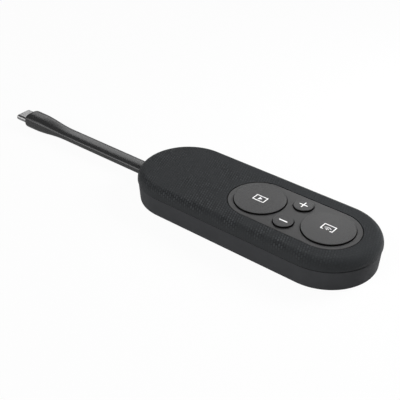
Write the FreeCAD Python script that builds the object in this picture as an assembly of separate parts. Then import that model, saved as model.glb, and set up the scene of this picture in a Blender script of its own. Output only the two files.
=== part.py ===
import FreeCAD, Part
import os
from math import cos, pi, radians, sin, sqrt
from types import SimpleNamespace

V = FreeCAD.Vector

# Sizes are millimetres. The body lies on the table with its buttons up, the button end
# towards +X and the cable towards -X. z = 0 is the underside of its rubber pad.

# Body outline and height
body_length = 110.0
body_width = 42.0
body_height = 12.9          # shell base to the cover's flat top
foot_proud = 0.2            # the rubber pad stands below the shell base by this
seam_height = 8.82          # shell base to the seam between the shells
seam_overhang = 0.25        # the cover stands out past the lower shell by this
wall_draft = 0.6            # the lower wall leans in by this at its foot
foot_edge = 0.3             # rounding of the lower shell's foot edge
cover_edge_reach = 3.6      # how far in the cover's rounded edge comes

# Shell walls and ribs
floor_thickness = 1.4
lower_wall = 2.0
cover_top_wall = 1.5
cover_side_wall = 1.3
cover_inner_reach = 2.5     # rounding inside the cover's edge
tongue_height = 1.2         # lip of the lower shell that locates the cover
tongue_gap = 0.1
rib_thickness = 0.8
rib_height = 1.0
floor_rib_inset = 11.0      # board's end arc centre to the first floor rib
floor_rib_pitch = 14.0
floor_rib_count = 5
cover_rib_first = 24.0      # left of the present button
cover_rib_pitch = 10.0
cover_rib_count = 3
rib_side_gap = 4.0

# Rubber pad under the shell
pad_inset = 3.4
pad_recess = 0.5
pad_gap = 0.1
tape_thickness = 0.1

# Buttons
share_offset = 0.2          # share button's centre past the centre of the end arc
button_gap = 10.4           # between the rims of the two large buttons
cap_radius = 10.45
cap_raise = 0.6
cap_travel = 0.5
small_cap_radius = 4.0
small_cap_raise = 0.7
small_cap_travel = 0.4
small_cap_out = 0.45        # volume buttons' outer edges past those of the large ones
cap_gap = 0.15
cap_top = 1.3
cap_edge = 0.3
skirt_wall = 1.2
skirt_overlap = 0.1         # a cap's ribs run into its skirt by this
flange_reach = 0.75
small_flange_reach = 0.5
flange_thickness = 0.5
flange_gap = 0.05

# Panel that frames the buttons
panel_border = 2.35         # panel beyond the large caps
panel_thickness = 1.2
panel_gap = 0.2
panel_chamfer = 0.12
glue_thickness = 0.15
glue_width = 0.8
ledge_gap = 0.7             # large cap's flange to the cover's opening
collar_wall = 1.4

# Moulded frame that guides the caps
stop_gap = 0.25             # flange to frame at full travel
frame_thickness = 1.1
frame_margin = 0.4
frame_tab_depth = 3.5
sleeve_depth = 0.7
sleeve_wall = 0.7
stem_radius = 2.0
small_stem_radius = 1.6
stem_gap = 0.3
guide_radius = 0.8
small_guide_radius = 0.6
guide_gap = 0.06
guide_edge = 1.65           # guide posts in from the side of their cap
small_guide_edge = 0.5
guide_end = 0.2             # guide posts show below their sleeves by this

# Symbols set into the caps
mark_depth = 0.25
mark_line = 0.42
screen_width = 5.2
screen_height = 3.6
screen_opening = 3.5        # gap in the foot of the share button's screen
play_back = 0.55            # play triangle to each side of the button's centre
play_front = 0.8
play_half = 0.75
dot_radius = 0.3
wave_radii = (1.05, 1.8)
wave_line = 0.36
wave_turn = 50.0            # the waves fan out by this to each side
wave_reach = 4.0
sign_length = 3.7
sign_line = 0.5

# Main board and the space under it
board_rise = 3.0            # shell floor to the board's underside
board_thickness = 1.2
board_side_gap = 8.2        # body side to board edge
board_end_gap = 3.0         # end arc centre to the board's own
post_radius = 2.0

# Tactile switches
switch_height = 2.0
switch_side = 6.2
small_switch_side = 4.6
switch_corner = 0.4
plunger_radius = 1.7
small_plunger_radius = 1.2
plunger_rise = 1.0          # plunger stands above its switch by this
plunger_lip = 0.4
plunger_gap = 0.08
switch_floor = 0.4
switch_roof = 0.45
dome_metal = 0.08
dome_spare = 0.2            # height left in a dome at full travel
touch_gap = 0.02
leg_length = 1.0
leg_width = 0.6
leg_height = 0.25
leg_spread = 0.6            # legs from the switch's middle, as a share of its half side

# Electronics on the board, with sizes given as length, width and height
shield_length = 16.0
shield_width = 18.0
shield_metal = 0.2
shield_clearance = 0.1
spreader_overhang = 1.0
spreader_side = 0.5
spreader_thickness = 1.0
spreader_corner = 1.5
processor_size = (10.0, 10.0, 1.2)
processor_shift = -2.5
pad_side_gap = 0.5          # thermal pad in from the processor's edges
memory_size = (9.0, 4.4, 0.9)
memory_shift = 5.4
module_size = (11.0, 13.0, 0.8)
module_can_size = (10.0, 11.0, 2.2)
module_gap = 2.0            # radio module to the shield
power_reach = 7.5           # power parts from the board screws, between them and the bosses
inductor_size = (4.0, 4.0, 1.8)
inductor_corner = 0.8
crystal_size = (3.2, 2.5, 0.8)
capacitor_size = (1.6, 0.8, 0.8)
capacitor_pitch = 2.4       # along the board
capacitor_step = 1.5        # across the board
part_gap = 0.8
row_start = 6.0             # row of small parts past the present button's centre
row_side = 9.5              # and off the middle line
antenna_side_gap = 2.2      # antennas from the sides of the shield
antenna_metal = 0.3
antenna_rise = 1.8
antenna_foot = 1.2
antenna_feed = 4.4          # between an antenna's two feet

# Screws
boss_clearance = 0.36       # corner bosses to the cover's opening
boss_inset = 6.5            # body side to the middle housing screws
boss_radius = 2.1
well_radius = 2.6
joint_height = 4.4          # shell floor to where posts and bosses meet
middle_screw_back = 10.9    # middle housing screws left of the present button
board_screw_end = 4.0       # board screws from the board's end arc centres
board_screw_side = 3.0      # and from its long edges
frame_screw_reach = 7.4     # frame screws along X from the volume buttons
frame_screw_out = 1.0       # and outside the frame's edge
clamp_screw_out = 3.1       # clamp screws outside the cable's edge
head_gap = 0.1
housing_head = 1.75
housing_head_height = 1.5
housing_shank = 0.95
housing_shank_length = 8.0
small_head = 1.35
small_head_height = 0.8
small_shank = 0.7
small_shank_length = 3.4
frame_shank_length = 2.9
cross_reach = 0.65          # arms of a screw's cross recess, as shares of its head's radius
cross_half = 0.13
thread_gap = 0.05
hole_gap = 0.15
blind_floor = 0.4           # left under a screw hole that doesn't go through

# Cable, and what holds it in the shell
cable_width = 7.4
cable_thickness = 3.8
cable_length = 50.2         # free stretch, from the body to the plug's grip
cable_entry = 0.2           # the free stretch starts this far inside the body's tip
cable_inside = 8.8          # jacket inside the shell
grommet_wall = 0.7
grommet_flange = 1.1
grommet_length = 4.0
clamp_thickness = 1.0
clamp_length = 3.2
clamp_setback = 2.2         # clamp's middle from the jacket's inner end
snug = 0.02

# Wires and the connector under the board
wire_count = 6
wire_pitch = 1.0
wire_radius = 0.35
wire_length = 3.1
header_length = 3.4
header_half = 4.0
header_height = 1.7
header_drop = 0.25          # header below the board
socket_overlap = 2.4        # header inside the socket
socket_back = 2.0           # socket's solid end behind the header
socket_wall = 0.8
socket_floor = 0.2

# Plug at the cable's far end
grip_length = 27.2
shell_exposed = 6.2         # plug's shell in front of the grip
shell_buried = 6.2          # and inside it
plug_shell_width = 8.34
plug_shell_height = 2.56
plug_shell_wall = 0.25
grip_side_wall = 0.58       # overmould beside the plug's shell
grip_face_wall = 2.12       # and above and below it
grip_flare = 23.0           # length over which the grip grows out of the cable
flare_steps = 5
nose_length = 1.2
nose_round = 0.45
insert_setback = 1.0        # insert's back end inside the shell
card_length = 9.0
card_width = 7.0
card_thickness = 0.8
mouth_side = 0.57           # insert beside its mouth
mouth_height = 1.2
mouth_depth = 6.0
tip_setback = 0.5
contact_pitch = 0.5
contact_count = 12
contact_half = 0.13
contact_metal = 0.15
contact_front = 0.6         # contacts behind the insert's face
contact_end = 0.1

# Places that follow from the sizes above
end_radius = body_width / 2
half_straight = body_length / 2 - end_radius
base_z = foot_proud
floor_z = base_z + floor_thickness
seam_z = base_z + seam_height
top_z = base_z + body_height
ceiling_z = top_z - cover_top_wall
share_x = half_straight + share_offset
present_x = share_x - 2 * cap_radius - button_gap
small_x = (present_x + share_x) / 2
small_y = cap_radius + small_cap_out - small_cap_radius
panel_radius = cap_radius + panel_border
panel_z = top_z - panel_thickness
pocket_radius = panel_radius + panel_gap
pocket_z = panel_z - glue_thickness
opening_radius = cap_radius + flange_reach + ledge_gap
flange_z = panel_z - flange_gap - flange_thickness
frame_top_z = flange_z - cap_travel - stop_gap
frame_z = frame_top_z - frame_thickness
frame_radius = pocket_radius + frame_margin
board_z = floor_z + board_rise
board_top_z = board_z + board_thickness
board_radius = end_radius - board_side_gap
board_half = half_straight - board_end_gap
switch_top_z = board_top_z + switch_height
plunger_top_z = switch_top_z + plunger_rise
joint_z = floor_z + joint_height
housing_seat_z = base_z + pad_recess + head_gap + housing_head_height
pad_radius = end_radius - seam_overhang - wall_draft - pad_inset

guide_circle = cap_radius - guide_edge - guide_radius
sleeve_radius = guide_radius + guide_gap + sleeve_wall
shield_height = frame_z - shield_clearance - spreader_thickness - board_top_z
spreader_right_x = present_x - guide_circle - sleeve_radius - shield_clearance
shield_x = spreader_right_x - spreader_overhang - shield_length / 2
module_x = shield_x - shield_length / 2 - module_gap - module_size[0] / 2
power_x = board_screw_end - board_half - power_reach

body_end_x = -body_length / 2
cable_z = floor_z + cable_thickness / 2
cable_start_x = body_end_x + cable_entry
jacket_end_x = cable_start_x + cable_inside
grommet_end_x = cable_start_x + grommet_length
neck_width = cable_width + 2 * grommet_wall
neck_height = cable_thickness + 2 * grommet_wall
clamp_z = cable_z + cable_thickness / 2 + snug
cable_end_x = cable_start_x - cable_length
grip_front_x = cable_end_x - grip_length
shell_tip_x = grip_front_x - shell_exposed
shell_back_x = grip_front_x + shell_buried
insert_back_x = shell_back_x - insert_setback
card_back_x = insert_back_x + card_length
header_x = jacket_end_x + wire_length
header_z = board_z - header_drop - header_height
wire_z = header_z + header_height / 2
grip_width = plug_shell_width + 2 * grip_side_wall
grip_thickness = plug_shell_height + 2 * grip_face_wall
mouth_half = plug_shell_width / 2 - plug_shell_wall - mouth_side

# The two kinds of button, and each button's centre and kind
large = SimpleNamespace(
    radius=cap_radius, raised=cap_raise, travel=cap_travel, reach=flange_reach, stem=stem_radius,
    guide=guide_radius, guide_circle=guide_circle, guide_turns=(90, 210, 330), rib_turns=(30, 150, 270),
    switch=switch_side, plunger=plunger_radius,
)
small = SimpleNamespace(
    radius=small_cap_radius, raised=small_cap_raise, travel=small_cap_travel, reach=small_flange_reach,
    stem=small_stem_radius, guide=small_guide_radius,
    guide_circle=small_cap_radius - small_guide_edge - small_guide_radius, guide_turns=(0, 180), rib_turns=(),
    switch=small_switch_side, plunger=small_plunger_radius,
)
buttons = {
    "present": (present_x, 0.0, large),
    "share": (share_x, 0.0, large),
    "volume_up": (small_x, small_y, small),
    "volume_down": (small_x, -small_y, small),
}


def joined(shapes):
    whole = shapes[0]
    for shape in shapes[1:]:
        whole = whole.fuse(shape)
    return whole.removeSplitter()


def block(x0, x1, y0, y1, z0, z1):
    return Part.makeBox(x1 - x0, y1 - y0, z1 - z0, V(x0, y0, z0))


def rod(x, y, z0, z1, radius):
    return Part.makeCylinder(radius, z1 - z0, V(x, y, z0))


def pill_wire(x0, x1, radius, z):
    """Outline of a plate with round ends centred at x0 and x1."""
    near = Part.LineSegment(V(x0, -radius, z), V(x1, -radius, z))
    right = Part.Arc(V(x1, -radius, z), V(x1 + radius, 0, z), V(x1, radius, z))
    far = Part.LineSegment(V(x1, radius, z), V(x0, radius, z))
    left = Part.Arc(V(x0, radius, z), V(x0 - radius, 0, z), V(x0, -radius, z))
    return Part.Wire([near.toShape(), right.toShape(), far.toShape(), left.toShape()])


def pill(x0, x1, radius, z0, z1):
    return Part.Face(pill_wire(x0, x1, radius, z0)).extrude(V(0, 0, z1 - z0))


def flat_wire(x, width, thickness):
    """Section of a flat cord or plug across X, with fully rounded sides."""
    z0 = cable_z - thickness / 2
    z1 = cable_z + thickness / 2
    side = (width - thickness) / 2
    low = Part.LineSegment(V(x, -side, z0), V(x, side, z0))
    right = Part.Arc(V(x, side, z0), V(x, width / 2, cable_z), V(x, side, z1))
    high = Part.LineSegment(V(x, side, z1), V(x, -side, z1))
    left = Part.Arc(V(x, -side, z1), V(x, -width / 2, cable_z), V(x, -side, z0))
    return Part.Wire([low.toShape(), right.toShape(), high.toShape(), left.toShape()])


def flat_bar(x0, x1, width, thickness):
    return Part.Face(flat_wire(x0, width, thickness)).extrude(V(x1 - x0, 0, 0))


def line(a, b):
    return Part.LineSegment(V(a[0], 0, a[1]), V(b[0], 0, b[1])).toShape()


def bend(a, corner, b):
    """Quarter ellipse from a to b, inside the given corner."""
    curve = Part.BezierCurve()
    curve.setPoles([V(a[0], 0, a[1]), V(corner[0], 0, corner[1]), V(b[0], 0, b[1])])
    curve.setWeight(2, sqrt(0.5))
    return curve.toShape()


def around_body(edges):
    """Sweep a profile of radius and height round the body's stadium outline."""
    near = Part.Face(Part.Wire(edges))
    far = near.copy()
    near.rotate(V(0, 0, 0), V(0, 0, 1), -90)
    far.rotate(V(0, 0, 0), V(0, 0, 1), 90)
    right_end = near.revolve(V(0, 0, 0), V(0, 0, 1), 180)
    left_end = far.revolve(V(0, 0, 0), V(0, 0, 1), 180)
    right_end.translate(V(half_straight, 0, 0))
    left_end.translate(V(-half_straight, 0, 0))
    near.translate(V(-half_straight, 0, 0))
    far.translate(V(-half_straight, 0, 0))
    run = V(2 * half_straight, 0, 0)
    return joined([right_end, near.extrude(run), left_end, far.extrude(run)])


def upright_edges(shape, height):
    return [edge for edge in shape.Edges if abs(edge.BoundBox.ZLength - height) < 0.01]


def screw(x, y, seat_z, up, head_radius, head_height, shank_radius, shank_length):
    """Cross-recess screw: up is 1 with its head below the seat, -1 with it above."""
    head_z = seat_z - up * head_height
    shank_z = seat_z + up * shank_length
    head = rod(x, y, min(seat_z, head_z), max(seat_z, head_z), head_radius)
    shank = rod(x, y, min(seat_z, shank_z), max(seat_z, shank_z), shank_radius)
    low, high = sorted([head_z, head_z + up * head_height / 2])
    arm = cross_reach * head_radius
    half = cross_half * head_radius
    cross = block(x - arm, x + arm, y - half, y + half, low, high)
    cross = cross.fuse(block(x - half, x + half, y - arm, y + arm, low, high))
    return joined([head, shank]).cut(cross)


def small_screws(places, seat_z, up, shank_length):
    return Part.makeCompound([
        screw(x, y, seat_z, up, small_head, small_head_height, small_shank, shank_length)
        for x, y in places
    ])


def mirrored(along, across):
    """Four places, alike in each quarter of the body."""
    return [(side * along, way * across) for side in (-1, 1) for way in (-1, 1)]


def housing_screw_places():
    corner = (opening_radius + boss_clearance + boss_radius) * sqrt(0.5)
    middle_x = present_x - middle_screw_back
    middle_y = end_radius - boss_inset
    return mirrored(share_x + corner, corner) + [(middle_x, -middle_y), (middle_x, middle_y)]


def board_screw_places():
    return mirrored(board_half - board_screw_end, board_radius - board_screw_side)


def frame_screw_places():
    across = frame_radius + frame_screw_out
    return [(small_x + side * frame_screw_reach, way * across) for side in (-1, 1) for way in (-1, 1)]


def clamp_screw_places():
    across = cable_width / 2 + clamp_screw_out
    along = jacket_end_x - clamp_setback
    return [(along, -across), (along, across)]


def cavity(gap):
    """Space inside the lower shell's wall, drawn in by gap."""
    foot = end_radius - seam_overhang - wall_draft - lower_wall - gap
    seam = end_radius - seam_overhang - lower_wall - gap
    points = [(0, floor_z), (foot, floor_z), (seam, seam_z), (seam, top_z), (0, top_z)]
    return around_body([line(a, b) for a, b in zip(points, points[1:] + points[:1])])


def bottom_housing():
    """Lower shell: draughted wall, floor, posts, tongue and the cable's way in."""
    foot = end_radius - seam_overhang - wall_draft
    seam = end_radius - seam_overhang
    lip_out = end_radius - cover_side_wall - tongue_gap
    lip_z = seam_z + tongue_height
    shell = around_body([
        line((0, base_z), (foot - foot_edge, base_z)),
        bend((foot - foot_edge, base_z), (foot, base_z), (foot, base_z + foot_edge)),
        line((foot, base_z + foot_edge), (seam, seam_z)),
        line((seam, seam_z), (lip_out, seam_z)),
        line((lip_out, seam_z), (lip_out, lip_z)),
        line((lip_out, lip_z), (0, lip_z)),
        line((0, lip_z), (0, base_z)),
    ])
    shell = shell.cut(cavity(0))
    solids = [shell]
    for x, y in housing_screw_places():
        solids.append(rod(x, y, floor_z, joint_z, well_radius))
    for x, y in board_screw_places():
        solids.append(rod(x, y, floor_z, board_z, post_radius))
    for x, y in clamp_screw_places():
        solids.append(rod(x, y, floor_z, clamp_z, post_radius))
    reach = seam - lower_wall - rib_side_gap
    for step in range(floor_rib_count):
        low_x = -board_half + floor_rib_inset + step * floor_rib_pitch - rib_thickness / 2
        rib = block(low_x, low_x + rib_thickness, -reach, reach, floor_z, floor_z + rib_height)
        solids.append(rib)
    shell = joined(solids)
    shell = shell.cut(pill(-half_straight, half_straight, pad_radius, base_z, base_z + pad_recess))
    for x, y in housing_screw_places():
        shell = shell.cut(rod(x, y, base_z, housing_seat_z, housing_head + hole_gap))
        shell = shell.cut(rod(x, y, housing_seat_z, joint_z, housing_shank + hole_gap))
    for x, y in board_screw_places():
        shell = shell.cut(rod(x, y, floor_z + blind_floor, board_z, small_shank + thread_gap))
    for x, y in clamp_screw_places():
        shell = shell.cut(rod(x, y, floor_z + blind_floor, clamp_z, small_shank + thread_gap))
    return shell.cut(flat_bar(body_end_x - 1, grommet_end_x, neck_width + 2 * snug, neck_height + 2 * snug))


def cable_grommet():
    """Rubber strain relief: a neck through the wall and a flange that lies inside it."""
    neck = flat_bar(cable_start_x, grommet_end_x, neck_width, neck_height)
    flange_width = neck_width + 2 * grommet_flange
    flange_height = neck_height + 2 * grommet_flange
    flange = flat_bar(cable_start_x, grommet_end_x, flange_width, flange_height)
    whole = joined([neck, flange.common(cavity(tongue_gap / 2))])
    hole = flat_bar(body_end_x - 1, grommet_end_x + 1, cable_width + 2 * snug, cable_thickness + 2 * snug)
    return whole.cut(hole)


def cable_tail():
    """The cable's jacket where it is held inside the shell."""
    return flat_bar(cable_start_x, jacket_end_x, cable_width, cable_thickness)


def cable_clamp():
    """Steel bridge screwed down over the jacket."""
    across = cable_width / 2 + clamp_screw_out + post_radius
    low_x = jacket_end_x - clamp_setback - clamp_length / 2
    bridge = block(low_x, low_x + clamp_length, -across, across, clamp_z, clamp_z + clamp_thickness)
    bridge = bridge.makeFillet(clamp_length / 3, upright_edges(bridge, clamp_thickness))
    for x, y in clamp_screw_places():
        bridge = bridge.cut(rod(x, y, clamp_z, clamp_z + clamp_thickness, small_shank + hole_gap))
    return bridge


def top_cover():
    """Upper shell with its rounded edge, the panel's pocket and the screw bosses."""
    out_flat = end_radius - cover_edge_reach
    wall_in = end_radius - cover_side_wall
    inner_flat = wall_in - cover_inner_reach
    bend_z = seam_z + tongue_height + 2 * tongue_gap
    outer = around_body([
        line((0, seam_z), (end_radius, seam_z)),
        bend((end_radius, seam_z), (end_radius, top_z), (out_flat, top_z)),
        line((out_flat, top_z), (0, top_z)),
        line((0, top_z), (0, seam_z)),
    ])
    inner = around_body([
        line((0, seam_z - 1), (wall_in, seam_z - 1)),
        line((wall_in, seam_z - 1), (wall_in, bend_z)),
        bend((wall_in, bend_z), (wall_in, ceiling_z), (inner_flat, ceiling_z)),
        line((inner_flat, ceiling_z), (0, ceiling_z)),
        line((0, ceiling_z), (0, seam_z - 1)),
    ])
    solids = [outer.cut(inner)]
    solids.append(pill(present_x, share_x, pocket_radius + collar_wall, frame_top_z, ceiling_z))
    for x, y in housing_screw_places():
        solids.append(rod(x, y, joint_z, ceiling_z, boss_radius))
    for x, y in frame_screw_places():
        solids.append(rod(x, y, frame_top_z, ceiling_z, post_radius))
    rib_z = ceiling_z - rib_height
    for step in range(cover_rib_count):
        low_x = present_x - cover_rib_first - step * cover_rib_pitch - rib_thickness / 2
        solids.append(block(low_x, low_x + rib_thickness, -inner_flat, inner_flat, rib_z, ceiling_z))
    cover = joined(solids)
    cover = cover.cut(pill(present_x, share_x, pocket_radius, pocket_z, top_z))
    cover = cover.cut(pill(present_x, share_x, opening_radius, seam_z, pocket_z))
    housing_tip_z = housing_seat_z + housing_shank_length + hole_gap
    for x, y in housing_screw_places():
        cover = cover.cut(rod(x, y, joint_z, housing_tip_z, housing_shank + thread_gap))
    frame_tip_z = frame_z + frame_shank_length + hole_gap
    for x, y in frame_screw_places():
        cover = cover.cut(rod(x, y, seam_z, frame_tip_z, small_shank + thread_gap))
    return cover


def housing_screws():
    return Part.makeCompound([
        screw(x, y, housing_seat_z, 1, housing_head, housing_head_height, housing_shank, housing_shank_length)
        for x, y in housing_screw_places()
    ])


def base_pad():
    high_z = base_z + pad_recess - tape_thickness
    return pill(-half_straight, half_straight, pad_radius - pad_gap, 0, high_z)


def pad_tape():
    high_z = base_z + pad_recess
    low_z = high_z - tape_thickness
    tape = pill(-half_straight, half_straight, pad_radius - pad_gap, low_z, high_z)
    for x, y in housing_screw_places():
        tape = tape.cut(rod(x, y, low_z, high_z, housing_head + hole_gap))
    return tape


def control_panel():
    """Plate that the caps stand through."""
    panel = pill(present_x, share_x, panel_radius, panel_z, top_z)
    for x, y, kind in buttons.values():
        panel = panel.cut(rod(x, y, panel_z, top_z, kind.radius + cap_gap))
    rim = [edge for edge in panel.Edges if edge.BoundBox.ZMin > top_z - 0.01]
    return panel.makeChamfer(panel_chamfer, rim)


def panel_glue():
    ring = pill(present_x, share_x, opening_radius + glue_width, pocket_z, panel_z)
    return ring.cut(pill(present_x, share_x, opening_radius, pocket_z, panel_z))


def guide_places(x, y, kind):
    return [(x + kind.guide_circle * cos(radians(turn)), y + kind.guide_circle * sin(radians(turn)))
            for turn in kind.guide_turns]


def button_cap(x, y, kind):
    """Hollow cap with a retaining flange, a centre stem, ribs and guide posts."""
    high_z = top_z + kind.raised
    under_z = top_z + cap_raise - cap_top
    inside = kind.radius - skirt_wall
    crown = rod(x, y, flange_z, high_z, kind.radius)
    edge = [e for e in crown.Edges if e.BoundBox.ZMin > high_z - 0.01]
    crown = crown.makeFillet(cap_edge, edge)
    flange = rod(x, y, flange_z, flange_z + flange_thickness, kind.radius + kind.reach)
    cap = joined([crown, flange]).cut(rod(x, y, flange_z, under_z, inside))
    solids = [cap, rod(x, y, plunger_top_z, under_z, kind.stem)]
    for gx, gy in guide_places(x, y, kind):
        solids.append(rod(gx, gy, frame_z - sleeve_depth - guide_end, under_z, kind.guide))
    for turn in kind.rib_turns:
        rib = block(0, inside + skirt_overlap, -rib_thickness / 2, rib_thickness / 2, flange_z, under_z)
        rib.rotate(V(0, 0, 0), V(0, 0, 1), turn)
        rib.translate(V(x, y, 0))
        solids.append(rib)
    return joined(solids)


def button_frame():
    """Inner frame: holes for the stems, bores and sleeves for the guide posts."""
    solids = [pill(present_x, share_x, frame_radius, frame_z, frame_top_z)]
    for x, y in frame_screw_places():
        inward = y - frame_tab_depth if y > 0 else y + frame_tab_depth
        low_y, high_y = sorted([y, inward])
        solids.append(rod(x, y, frame_z, frame_top_z, post_radius))
        solids.append(block(x - post_radius, x + post_radius, low_y, high_y, frame_z, frame_top_z))
    low_z = frame_z - sleeve_depth
    for x, y, kind in buttons.values():
        for gx, gy in guide_places(x, y, kind):
            solids.append(rod(gx, gy, low_z, frame_top_z, kind.guide + guide_gap + sleeve_wall))
    frame = joined(solids)
    for x, y, kind in buttons.values():
        frame = frame.cut(rod(x, y, low_z, frame_top_z, kind.stem + stem_gap))
        for gx, gy in guide_places(x, y, kind):
            frame = frame.cut(rod(gx, gy, low_z, frame_top_z, kind.guide + guide_gap))
    for x, y in frame_screw_places():
        frame = frame.cut(rod(x, y, frame_z, frame_top_z, small_shank + hole_gap))
    for x, y in housing_screw_places():
        frame = frame.cut(rod(x, y, frame_z, frame_top_z, boss_radius + stem_gap))
    return frame


def mark_plate(x0, x1, y0, y1, high_z):
    return block(x0, x1, y0, y1, high_z - mark_depth, high_z)


def screen_bars(x, y, high_z, opening):
    """Screen outline whose lower bar has a gap of the given length."""
    across = screen_width / 2
    up = screen_height / 2
    foot = y - up
    return joined([
        mark_plate(x - across, x + across, y + up - mark_line, y + up, high_z),
        mark_plate(x - across, x - across + mark_line, foot, y + up, high_z),
        mark_plate(x + across - mark_line, x + across, foot, y + up, high_z),
        mark_plate(x - across, x - opening / 2, foot, foot + mark_line, high_z),
        mark_plate(x + opening / 2, x + across, foot, foot + mark_line, high_z),
    ])


def pointed_plate(corners, low_z, high_z):
    """Upright plate over a polygon of x and y places."""
    points = [V(x, y, low_z) for x, y in corners]
    return Part.Face(Part.makePolygon(points + points[:1])).extrude(V(0, 0, high_z - low_z))


def present_mark(x, y):
    """Closed screen with a play triangle."""
    high_z = top_z + cap_raise
    corners = [(x - play_back, y - play_half), (x + play_front, y), (x - play_back, y + play_half)]
    play = pointed_plate(corners, high_z - mark_depth, high_z)
    return Part.makeCompound([screen_bars(x, y, high_z, 0), play])


def share_mark(x, y):
    """Screen open at its foot, with a dot and two waves that fan up from it."""
    high_z = top_z + cap_raise
    low_z = high_z - mark_depth
    foot = y - screen_height / 2
    side = wave_reach * sin(radians(wave_turn))
    rise = wave_reach * cos(radians(wave_turn))
    fan = pointed_plate([(x, foot), (x + side, foot + rise), (x - side, foot + rise)], low_z, high_z)
    solids = [screen_bars(x, y, high_z, screen_opening)]
    solids.append(rod(x, foot + dot_radius, low_z, high_z, dot_radius))
    for radius in wave_radii:
        ring = rod(x, foot, low_z, high_z, radius).cut(rod(x, foot, low_z, high_z, radius - wave_line))
        solids.append(ring.common(fan))
    return Part.makeCompound(solids)


def sign_mark(x, y, crossed):
    """Minus bar, or a plus where crossed."""
    high_z = top_z + small_cap_raise
    reach = sign_length / 2
    half = sign_line / 2
    bar = mark_plate(x - reach, x + reach, y - half, y + half, high_z)
    if crossed:
        bar = joined([bar, mark_plate(x - half, x + half, y - reach, y + reach, high_z)])
    return bar


def switch_case(x, y, kind):
    half = kind.switch / 2
    case = block(x - half, x + half, y - half, y + half, board_top_z, switch_top_z)
    case = case.makeChamfer(switch_corner, upright_edges(case, switch_height))
    room = kind.plunger + plunger_lip + 2 * plunger_gap
    roof_z = switch_top_z - switch_roof
    case = case.cut(rod(x, y, board_top_z + switch_floor, roof_z, room))
    return case.cut(rod(x, y, roof_z, switch_top_z, kind.plunger + plunger_gap))


def switch_dome(x, y, kind):
    """Snap dome of thin steel under the plunger."""
    height = kind.travel + dome_spare
    rim = kind.plunger + plunger_lip - plunger_gap
    foot_z = board_top_z + switch_floor
    ball = (rim * rim + height * height) / (2 * height)
    centre = V(x, y, foot_z + height - ball)
    skin = Part.makeSphere(ball, centre).cut(Part.makeSphere(ball - dome_metal, centre))
    return skin.common(rod(x, y, foot_z, foot_z + height + 1, rim + 1))


def switch_plunger(x, y, kind):
    low_z = board_top_z + switch_floor + kind.travel + dome_spare + touch_gap
    lip_z = switch_top_z - switch_roof - flange_gap
    return joined([
        rod(x, y, low_z, lip_z, kind.plunger + plunger_lip),
        rod(x, y, lip_z, plunger_top_z, kind.plunger),
    ])


def switch_terminals():
    """Tinned legs of the switches, soldered to the board."""
    legs = []
    for x, y, kind in buttons.values():
        half = kind.switch / 2
        for side, way in mirrored(1, 1):
            low_x, high_x = sorted([x + side * half, x + side * (half + leg_length)])
            low_y = y + way * half * leg_spread - leg_width / 2
            legs.append(block(low_x, high_x, low_y, low_y + leg_width, board_top_z, board_top_z + leg_height))
    return Part.makeCompound(legs)


def main_board():
    board = pill(-board_half, board_half, board_radius, board_z, board_top_z)
    for x, y in board_screw_places():
        board = board.cut(rod(x, y, board_z, board_top_z, small_shank + hole_gap))
    for x, y in housing_screw_places():
        board = board.cut(rod(x, y, board_z, board_top_z, well_radius + stem_gap))
    return board


def on_board(x, y, size):
    """A block soldered to the top of the board, centred at x and y."""
    length, width, height = size
    low_x = x - length / 2
    low_y = y - width / 2
    return block(low_x, low_x + length, low_y, low_y + width, board_top_z, board_top_z + height)


def rf_shield():
    wall = 2 * shield_metal
    can = on_board(shield_x, 0, (shield_length, shield_width, shield_height))
    room = (shield_length - wall, shield_width - wall, shield_height - shield_metal)
    return can.cut(on_board(shield_x, 0, room))


def thermal_pad():
    """Soft pad that fills the height between the processor and the shield."""
    half_x = processor_size[0] / 2 - pad_side_gap
    half_y = processor_size[1] / 2 - pad_side_gap
    low_z = board_top_z + processor_size[2]
    high_z = board_top_z + shield_height - shield_metal
    low_y = processor_shift - half_y
    return block(shield_x - half_x, shield_x + half_x, low_y, low_y + 2 * half_y, low_z, high_z)


def heat_spreader():
    low_z = board_top_z + shield_height
    half_x = shield_length / 2 + spreader_overhang
    half_y = shield_width / 2 + spreader_side
    plate = block(shield_x - half_x, shield_x + half_x, -half_y, half_y, low_z, low_z + spreader_thickness)
    return plate.makeFillet(spreader_corner, upright_edges(plate, spreader_thickness))


def wireless_module():
    """Radio module: its own small board with a pressed can on it."""
    return joined([on_board(module_x, 0, module_size), on_board(module_x, 0, module_can_size)])


def antenna(way):
    """Stamped antenna on two feet, beside the shield and as high as the spreader."""
    low_y = way * (shield_width / 2 + antenna_side_gap) - antenna_metal / 2
    high_y = low_y + antenna_metal
    end_x = shield_x - shield_length / 2
    rise_z = board_top_z + antenna_rise
    solids = [block(end_x, end_x + shield_length, low_y, high_y, rise_z, frame_z - shield_clearance)]
    for foot_x in (end_x, end_x + antenna_feed):
        solids.append(block(foot_x, foot_x + antenna_foot, low_y, high_y, board_top_z, rise_z))
    return joined(solids)


def power_inductor():
    side = module_size[1] / 2 + part_gap + inductor_size[1] / 2
    coil = on_board(power_x, side, inductor_size)
    return coil.makeFillet(inductor_corner, upright_edges(coil, inductor_size[2]))


def crystal():
    return on_board(present_x + row_start + crystal_size[0] / 2, -row_side, crystal_size)


def board_capacitors():
    """Small ceramic parts: a column by the shield, rows by a switch and the power inductor."""
    column_x = shield_x + shield_length / 2 + capacitor_pitch
    power_y = -(module_size[1] + capacitor_size[1]) / 2 - part_gap
    places = [(column_x, step * capacitor_step) for step in range(-5, 6)]
    for step in range(3):
        places.append((present_x + row_start + step * capacitor_pitch, row_side))
        places.append((power_x - capacitor_pitch / 2, power_y - step * capacitor_step))
        places.append((power_x + capacitor_pitch / 2, power_y - step * capacitor_step))
    return Part.makeCompound([on_board(x, y, capacitor_size) for x, y in places])


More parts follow.
